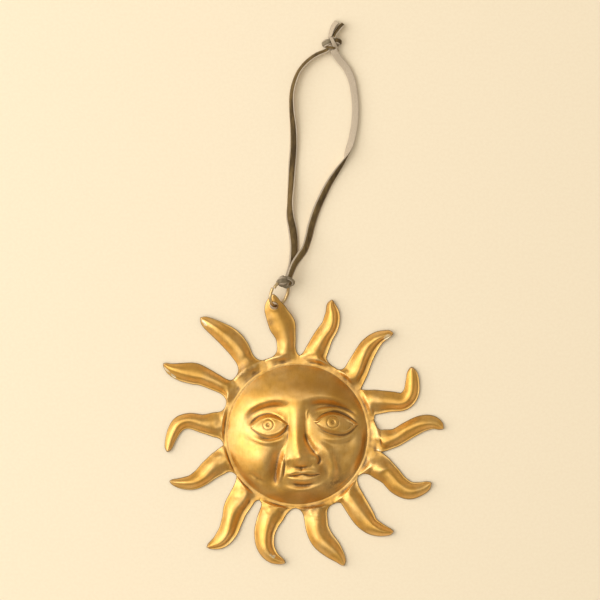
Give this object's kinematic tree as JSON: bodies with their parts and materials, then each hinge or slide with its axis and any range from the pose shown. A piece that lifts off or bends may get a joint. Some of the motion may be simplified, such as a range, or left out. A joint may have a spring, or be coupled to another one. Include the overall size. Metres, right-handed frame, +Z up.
{
  "type": "hanging sun ornament",
  "caption": "Pressed sheet iron sun with a relief face and wavy rays, hung by a wire jump ring and a knotted velvet ribbon loop.",
  "frame": {"origin": "on the table, under the middle of the box of the sun and its jump ring, as the ornament lies on its back", "axes": "+Z up out of the face, away from the table; +Y toward the hanging ribbon; +X to the right as one looks at the face"},
  "size_m": [0.1146, 0.2216, 0.0129],
  "materials": {
    "gold_paint": "satin antique gold paint, worn pale on tips and dark in the creases",
    "ring_wire": "bright antique gold wire",
    "velvet_ribbon": "olive brown velvet face with a taupe woven back"
  },
  "bodies": {
    "sun": {"sun_sheet": "gold_paint"},
    "ring": {"jump_ring": "ring_wire"},
    "hanger": {"ribbon_hitch": "velvet_ribbon", "ribbon_strand_left": "velvet_ribbon", "ribbon_strand_right": "velvet_ribbon", "ribbon_knot": "velvet_ribbon", "ribbon_tail_left": "velvet_ribbon", "ribbon_tail_right": "velvet_ribbon"}
  },
  "joints": [
    {"name": "ring_tilt", "type": "hinge", "parent": "sun", "child": "ring", "pos_m": [-0.00977, 0.05266, 0.00512], "axis": [0.4115, 0.9114, 0], "range_deg": [-10, 70]},
    {"name": "hanger_swing", "type": "hinge", "parent": "ring", "child": "hanger", "pos_m": [-0.00768, 0.05727, 0.00512], "axis": [0.5228, -0.236, -0.8192], "range_deg": [-75, 75]}
  ]
}
